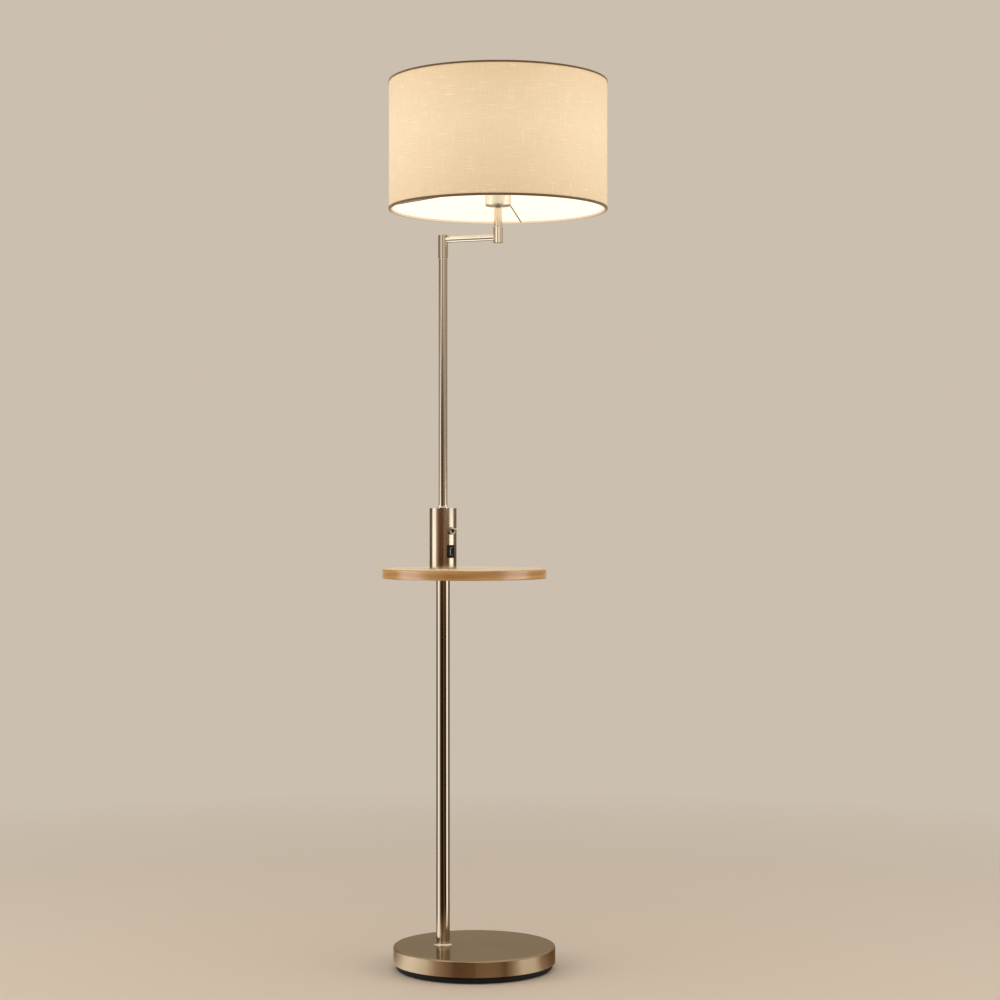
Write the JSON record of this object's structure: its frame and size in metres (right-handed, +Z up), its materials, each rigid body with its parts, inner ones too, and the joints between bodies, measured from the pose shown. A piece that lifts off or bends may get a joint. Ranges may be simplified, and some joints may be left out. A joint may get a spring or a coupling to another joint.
{
  "type": "floor lamp with table",
  "caption": "Floor lamp with a weighted round base, a small round table, a switch and charging socket housing, and a drum shade on a short swing arm.",
  "frame": {"origin": "centre of the base's underside, where it stands on the floor", "axes": "+Z up, +X towards the side that the table and the arm stand out to, -Y towards the front, where the switch and the charging socket face"},
  "size_m": [0.4156, 0.4013, 1.6337],
  "materials": {
    "satin_metal": "satin nickel, brushed",
    "bright_metal": "bright nickel",
    "steel": "zinc plated",
    "lever_metal": "dark nickel",
    "black_plastic": "fine grain",
    "felt": "felt",
    "cast_filling": "cast",
    "wood": "matt lacquer",
    "white_plastic": "semi-gloss",
    "nylon": "natural",
    "brass": "plain",
    "bulb_shell": "opal",
    "lining": "matt",
    "linen": "slub linen",
    "binding": "woven tape",
    "wire": "plated"
  },
  "bodies": {
    "stand": {"foot_pad": "felt", "bottom_plate": "black_plastic", "plate_screws": "steel", "base_weight": "cast_filling", "base_cover": "satin_metal", "cable_inlet": "black_plastic", "base_washer": "steel", "base_nut": "steel", "base_thread": "steel", "foot_collar": "bright_metal", "pole_foot_plug": "steel", "lower_pole": "satin_metal", "pole_head_plug": "steel", "table_thread": "steel", "table_top": "wood", "housing_floor": "steel", "housing_nut": "steel", "housing_tube": "satin_metal", "housing_lid": "satin_metal", "top_collar": "bright_metal", "switch_body": "black_plastic", "switch_bush": "steel", "switch_ring_nut": "bright_metal", "socket_frame": "black_plastic", "socket_shell": "steel", "socket_tongue": "white_plastic", "socket_contacts": "brass", "power_unit": "black_plastic", "upper_pole_plug": "steel", "upper_pole": "satin_metal", "arm_pivot": "steel", "arm_washer": "nylon"},
    "lever": {"switch_lever": "lever_metal"},
    "arm": {"arm_knuckle": "satin_metal", "arm_tube": "satin_metal", "arm_sleeve": "satin_metal", "arm_screw": "steel", "stop_screws": "steel", "shade_washer": "nylon"},
    "shade": {"shade_pivot": "steel", "stub_tube": "satin_metal", "stub_plug": "steel", "holder_thread": "steel", "lampholder_cup": "satin_metal", "cup_nut": "steel", "lampholder_barrel": "white_plastic", "holder_contacts": "brass", "clamp_nut": "white_plastic", "bulb_cap": "steel", "bulb_neck": "white_plastic", "bulb_globe": "bulb_shell", "shade_spider": "wire", "shade_lower_ring": "wire", "shade_upper_ring": "wire", "shade_lining": "lining", "shade_fabric": "linen", "shade_lower_binding": "binding", "shade_upper_binding": "binding"}
  },
  "joints": [
    {"name": "arm_swing", "type": "hinge", "parent": "stand", "child": "arm", "pos_m": [-0.058, 0, 1.34785], "axis": [0, 0, 1], "range_deg": [-145, 145]},
    {"name": "shade_swing", "type": "hinge", "parent": "arm", "child": "shade", "pos_m": [0.04399, -0.04121, 1.36785], "axis": [0, 0, 1], "range_deg": [-145, 145]},
    {"name": "switch_toggle", "type": "hinge", "parent": "stand", "child": "lever", "pos_m": [-0.04356, -0.01917, 0.8095], "axis": [0.7986, 0.6018, 0], "range_deg": [0, 20]}
  ]
}
